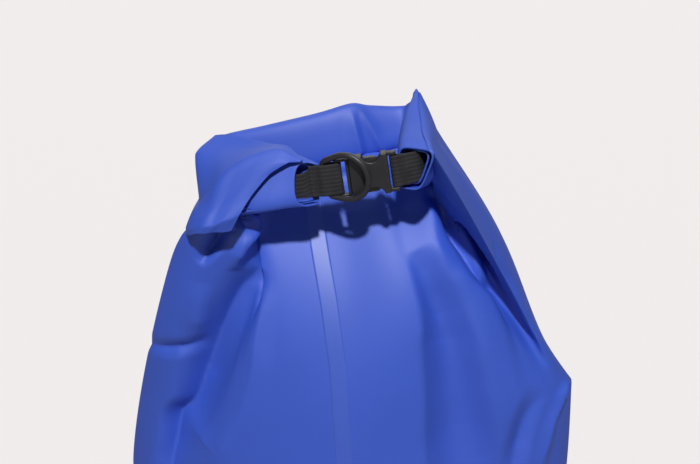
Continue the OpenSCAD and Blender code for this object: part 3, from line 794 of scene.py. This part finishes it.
def carved(bm, cutters):
    """The first bmesh with the others cut out of it."""
    objects = []
    for source in [bm] + cutters:
        mesh = bpy.data.meshes.new("carving")
        source.to_mesh(mesh)
        source.free()
        objects.append(bpy.data.objects.new("carving", mesh))
        bpy.context.scene.collection.objects.link(objects[-1])
    for cutter in objects[1:]:
        cut = objects[0].modifiers.new("cut", "BOOLEAN")
        cut.operation = "DIFFERENCE"
        cut.solver = "EXACT"
        cut.object = cutter
    bpy.context.view_layer.update()
    result = bmesh.new()
    result.from_object(objects[0], bpy.context.evaluated_depsgraph_get())
    for ob in objects:
        mesh = ob.data
        bpy.data.objects.remove(ob)
        bpy.data.meshes.remove(mesh)
    return result


def moulding(name, bm, body):
    """Puts a moulding made in the buckle's own frame where the buckle is."""
    bmesh.ops.transform(bm, matrix=BUCKLE, verts=bm.verts)
    piece = new_piece(name + "_moulding", bm)
    piece.data.set_sharp_from_angle(angle=math.radians(35))
    piece.data.materials.append(buckle_plastic)
    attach(piece, body)
    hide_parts(name)


# plug: bar and cheeks, flange, shoulder and centre guide
bm = bar(PLUG_BAR_X)
joined(bm, cheeks(-18.9, -7.7, PLUG_HALF_W, 2.3, 0.7))
joined(bm, slab(rectangle(-10.1, -PLUG_HALF_W, -7.7, PLUG_HALF_W), 4.0, 0.8))
joined(bm, slab(rectangle(-8.7, -11.8, -5.4, 11.8), PRONG_HALF_T, 0.4))
joined(bm, slab(rectangle(-8.7, -2.0, 9.3, 2.0), PRONG_HALF_T, 0.6))
moulding("buckle_plug", bm, "bag")

# prongs: a round root, an arm, a catch and a round tip
prong = (
    [(11.5, 7.8)]
    + arc(11.5, 10.9, 3.1, -80, 90, 12)
    + [(6.3, 14.0), (4.2, 13.95), (3.3, 13.5), (3.3, 10.3), (-5.4, 9.7)]
    + arc(-5.4, 8.0, 2.2, 120, 240, 8)
    + [(-5.4, 6.3)]
)
moulding("upper_prong", slab(prong, PRONG_HALF_T, 0.5), "upper_prong")
moulding("lower_prong", slab([(x, -z) for x, z in prong], PRONG_HALF_T, 0.5), "lower_prong")

# socket: a hollow case with a round window on each side, cheeks and bar
window = arc(10, 17.4, 7.5, 190.8, 349.2, 24)
upper_edge = (
    [(-7.4, 14.6), (-6.4, SOCKET_HALF_W), (1.6, SOCKET_HALF_W)]
    + window
    + [(18.4, SOCKET_HALF_W), (21.4, SOCKET_HALF_W), (22.4, 15.2)]
)
bm = carved(
    slab(upper_edge + [(x, -z) for x, z in upper_edge[::-1]], SOCKET_HALF_T, 1.0),
    [
        slab(rectangle(-8.5, -12.1, 17.5, 12.1), HOLLOW_HALF_T, 0),
        slab(rectangle(2.6, -18, 17.5, 18), HOLLOW_HALF_T, 0),
    ],
)
joined(bm, cheeks(21.4, 29.0, SOCKET_HALF_W, 2.4, 0.9))
joined(bm, bar(SOCKET_BAR_X))
moulding("buckle_socket", bm, "right_end")

# D-ring
# A ring of round rod, moulded in the buckle's plastic, for a hook or a strap. Its straight bar lies in
# the left webbing's loop and its wide bow, of thicker rod, lies in front of the buckle.
RING_ROD_R = 1.95
RING_BAR_HALF = 11.5
RING_CORNER = 3.5
RING_LEG = 10.5
RING_BOW_SHARE = 1.25
RING_FLARE = math.radians(14)
RING_AT = (-25.94, 0, 0.3)
RING_ASKEW = math.radians(-6)
RING_LEAN = math.radians(-23.5)


def drawn_on(bm, geom, cent=(0, 0, 0), angle=0, dvec=(0, 0, 0), steps=1):
    """Draws the rod's section on, round a centre or straight."""
    drawn = bmesh.ops.spin(
        bm, geom=geom, cent=cent, axis=(0, 1, 0), angle=angle, dvec=dvec, steps=steps, use_duplicate=False
    )
    return drawn["geom_last"]


def thickened(bm, geom, factor):
    """Makes the rod's last section larger or smaller round its middle."""
    ring = [g for g in geom if isinstance(g, bmesh.types.BMVert)]
    middle = sum((v.co for v in ring), Vector()) / len(ring)
    bmesh.ops.scale(bm, vec=(factor, factor, factor), space=Matrix.Translation(-middle), verts=ring)


flare_cos = math.cos(RING_FLARE)
flare_sin = math.sin(RING_FLARE)
leg_x = RING_LEG * flare_cos
leg_z = RING_LEG * flare_sin
bow_r = (RING_BAR_HALF + RING_CORNER * flare_cos + leg_z) / flare_cos
bow_x = RING_CORNER * (1 - flare_sin) + leg_x + bow_r * flare_sin
corner_turn = math.pi / 2 - RING_FLARE
bow_turn = math.pi + 2 * RING_FLARE

bm = bmesh.new()
section = bmesh.ops.create_circle(bm, segments=24, radius=RING_ROD_R)["verts"]
bmesh.ops.translate(bm, verts=section, vec=(0, 0, -RING_BAR_HALF))
last = list({e for v in section for e in v.link_edges}) + section
last = drawn_on(bm, last, dvec=(0, 0, 2 * RING_BAR_HALF))
last = drawn_on(bm, last, cent=(RING_CORNER, 0, RING_BAR_HALF), angle=corner_turn, steps=8)
thickened(bm, last, RING_BOW_SHARE)
last = drawn_on(bm, last, dvec=(leg_x, 0, leg_z))
last = drawn_on(bm, last, cent=(bow_x, 0, 0), angle=bow_turn, steps=44)
last = drawn_on(bm, last, dvec=(-leg_x, 0, leg_z))
thickened(bm, last, 1 / RING_BOW_SHARE)
drawn_on(bm, last, cent=(RING_CORNER, 0, -RING_BAR_HALF), angle=corner_turn, steps=8)
bmesh.ops.remove_doubles(bm, verts=bm.verts, dist=0.01)
ring_turn = Matrix.Rotation(RING_ASKEW, 4, "Y") @ Matrix.Rotation(RING_LEAN, 4, "Z")
bmesh.ops.transform(bm, matrix=Matrix.Translation(RING_AT) @ ring_turn, verts=bm.verts)
moulding("d_ring", bm, "d_ring")

# Webbing
# Two tabs of black ribbed nylon webbing, 25 mm wide. Each is folded round a bar of the buckle and sewn
# to itself, the left one round the D-ring's bar too, and its other end runs into an end of the roll.
WEB_W = 25.0
WEB_HALF_T = 0.50
RIBS = 8
RIB_RISE = 0.25
RIB_STEPS = 12
SELVEDGE_SHARE = 0.05
PATH_STEPS = 10
LOOP_R = 2.85
LEFT_SAG = 5.5
webbing = finish_material(
    "webbing", (0.026, 0.026, 0.030), roughness=0.75, specular=0.3,
    grain=0.08, grain_scale=1300, tone=0.25, tone_scale=80, bump=0.00015,
)


def tab(name, path, body, sag=0.0):
    """A strip of webbing along a path in plan, its width upright, its first end hanging by sag."""
    path = smooth_through(path, PATH_STEPS)
    run, heading = run_and_heading(path)

    def place(u, v):
        x, y = [np.interp(u, run, column) for column in path.T]
        hx, hy = [np.interp(u, run, column) for column in heading.T]
        face = np.where(v < 0.5, 1.0, -1.0)
        across = np.where(v < 0.5, 4 * v - 1, 3 - 4 * v)
        rib = np.abs(np.sin(math.pi * RIBS * (across + 1) / 2))
        selvedge = np.clip((1 - np.abs(across)) / SELVEDGE_SHARE, 0, 1) ** 0.5
        off = face * (WEB_HALF_T + RIB_RISE * rib) * selvedge
        z = across * WEB_W / 2 - sag * eased(u, 0.45, 0.30)
        return np.stack([x - hy * off, y + hx * off, z], -1)

    bm = laid_grid(len(path) * 2, 2 * RIBS * RIB_STEPS, place, unit=1)
    bmesh.ops.remove_doubles(bm, verts=bm.verts, dist=0.01)
    bmesh.ops.transform(bm, matrix=BUCKLE, verts=bm.verts)
    piece = new_piece(name + "_tab", bm)
    piece.data.materials.append(webbing)
    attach(piece, body)
    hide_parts(name)


tab(
    "left_webbing",
    [(-70, 0.8), (-45, 0.8), (-36, 0.8), (-32, 1.0), (-29, 2.5), (-26, LOOP_R), (-20, LOOP_R)]
    + arc(PLUG_BAR_X, 0, LOOP_R, 80, -80, 9)
    + [(-20, -LOOP_R), (-26, -LOOP_R), (-29, -2.5), (-32, -1.0), (-35, -0.8), (-38, -0.8)],
    "bag",
    sag=LEFT_SAG,
)
tab(
    "right_webbing",
    [(45, 38), (48, 26), (49, 11), (46, 3.6), (40, 1.0), (33, 0.9), (29.5, 2.3)]
    + arc(SOCKET_BAR_X, 0, LOOP_R, 80, 280, 11)
    + [(29.5, -2.3), (32, -0.9), (35, -0.7), (37.5, -0.6)],
    "right_end",
)

# Stitching
# Two rows of black polyester thread across each tab, sewn through its overlap, which hold its loop
# closed. Each stitch shows on both faces.
STITCHES = 7
STITCH_PITCH = 3.2
STITCH_OFF = 1.55
STITCH_HALF = (0.35, 0.3, 1.25)
thread = finish_material(
    "thread", (0.026, 0.026, 0.029), roughness=0.6, specular=0.3,
    grain=0.08, grain_scale=2500, tone=0.2, tone_scale=200, bump=0.00005,
)


def stitching(name, rows, body):
    """Rows of thread across the sewn overlap, on both faces."""
    bm = bmesh.new()
    shape = Matrix.Diagonal((*STITCH_HALF, 1))
    for x in rows:
        for k in range(STITCHES):
            z = (k - STITCHES // 2) * STITCH_PITCH
            for face in (-1, 1):
                place = Matrix.Translation((x, face * STITCH_OFF, z))
                bmesh.ops.create_uvsphere(bm, u_segments=10, v_segments=8, radius=1.0, matrix=place @ shape)
    bmesh.ops.transform(bm, matrix=BUCKLE, verts=bm.verts)
    piece = new_piece(name + "_thread", bm)
    piece.data.materials.append(thread)
    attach(piece, body)
    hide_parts(name)


stitching("left_stitching", (-34.5, -32.8), "bag")
stitching("right_stitching", (32.6, 34.4), "right_end")

# Stage
# A plain pale floor, which glows a little for the camera alone, one lamp high in front and a dim world.
# The camera stands where the photograph was taken from.
FLOOR_HALF = 12
FLOOR_GLOW = 0.55
CAMERA_AT = (-0.0006, -1.4993, 0.9605)
CAMERA_TURN = (math.radians(70), 0, 0)
KEY_HEIGHT = math.radians(48)
KEY_ASIDE = math.radians(1)
# Strength of the world, and in reflections, which are brightest towards a point overhead and behind
WORLD_LEVEL = 0.035
REFLECTED_LEVEL = 0.20
OVERHEAD_LEVEL = 1.6
OVERHEAD = (0, 0.63, 0.77)
OVERHEAD_EDGE = 0.55

floor_mesh = bpy.data.meshes.new("floor")
bm = bmesh.new()
bmesh.ops.create_grid(bm, x_segments=1, y_segments=1, size=FLOOR_HALF)
bm.to_mesh(floor_mesh)
bm.free()
floor = bpy.data.objects.new("floor", floor_mesh)
bpy.context.scene.collection.objects.link(floor)
floor_paint = bpy.data.materials.new("floor")
floor_paint.use_nodes = True
floor_nodes, floor_links = floor_paint.node_tree.nodes, floor_paint.node_tree.links
floor_shader = floor_nodes["Principled BSDF"]
floor_shader.inputs["Base Color"].default_value = (0.42, 0.40, 0.40, 1)
floor_shader.inputs["Roughness"].default_value = 0.9
floor_shader.inputs["Emission Color"].default_value = (1, 0.96, 0.96, 1)
floor_rays = floor_nodes.new("ShaderNodeLightPath")
glow = floor_nodes.new("ShaderNodeMath")
glow.operation = "MULTIPLY"
glow.inputs[1].default_value = FLOOR_GLOW
floor_links.new(floor_rays.outputs["Is Camera Ray"], glow.inputs[0])
floor_links.new(glow.outputs["Value"], floor_shader.inputs["Emission Strength"])
floor_mesh.materials.append(floor_paint)

camera_data = bpy.data.cameras.new("camera")
camera_data.sensor_width = 36
camera_data.lens = 101.8
camera_data.clip_end = 50
camera = bpy.data.objects.new("camera", camera_data)
camera.location = CAMERA_AT
camera.rotation_euler = CAMERA_TURN
bpy.context.scene.collection.objects.link(camera)
bpy.context.scene.camera = camera

key_data = bpy.data.lights.new("key", "SUN")
key_data.angle = math.radians(3.5)
key_data.energy = 2.95
key = bpy.data.objects.new("key", key_data)
key.rotation_euler = (math.pi / 2 - KEY_HEIGHT, 0, KEY_ASIDE)
bpy.context.scene.collection.objects.link(key)

world = bpy.data.worlds.new("world")
bpy.context.scene.world = world
world.use_nodes = True
world_nodes, world_links = world.node_tree.nodes, world.node_tree.links
sky = world_nodes["Background"]
sky.inputs["Color"].default_value = (1, 1, 1, 1)
direction = world_nodes.new("ShaderNodeTexCoord")
towards = world_nodes.new("ShaderNodeVectorMath")
towards.operation = "DOT_PRODUCT"
towards.inputs[1].default_value = OVERHEAD
reflected = world_nodes.new("ShaderNodeMapRange")
reflected.inputs["From Min"].default_value = OVERHEAD_EDGE
reflected.inputs["From Max"].default_value = 1.0
reflected.inputs["To Min"].default_value = REFLECTED_LEVEL
reflected.inputs["To Max"].default_value = OVERHEAD_LEVEL
world_rays = world_nodes.new("ShaderNodeLightPath")
strength = world_nodes.new("ShaderNodeMapRange")
strength.inputs["To Min"].default_value = WORLD_LEVEL
world_links.new(direction.outputs["Generated"], towards.inputs[0])
world_links.new(towards.outputs["Value"], reflected.inputs["Value"])
world_links.new(reflected.outputs["Result"], strength.inputs["To Max"])
world_links.new(world_rays.outputs["Is Glossy Ray"], strength.inputs["Value"])
world_links.new(strength.outputs["Result"], sky.inputs["Strength"])
bpy.context.scene.view_settings.view_transform = "Standard"
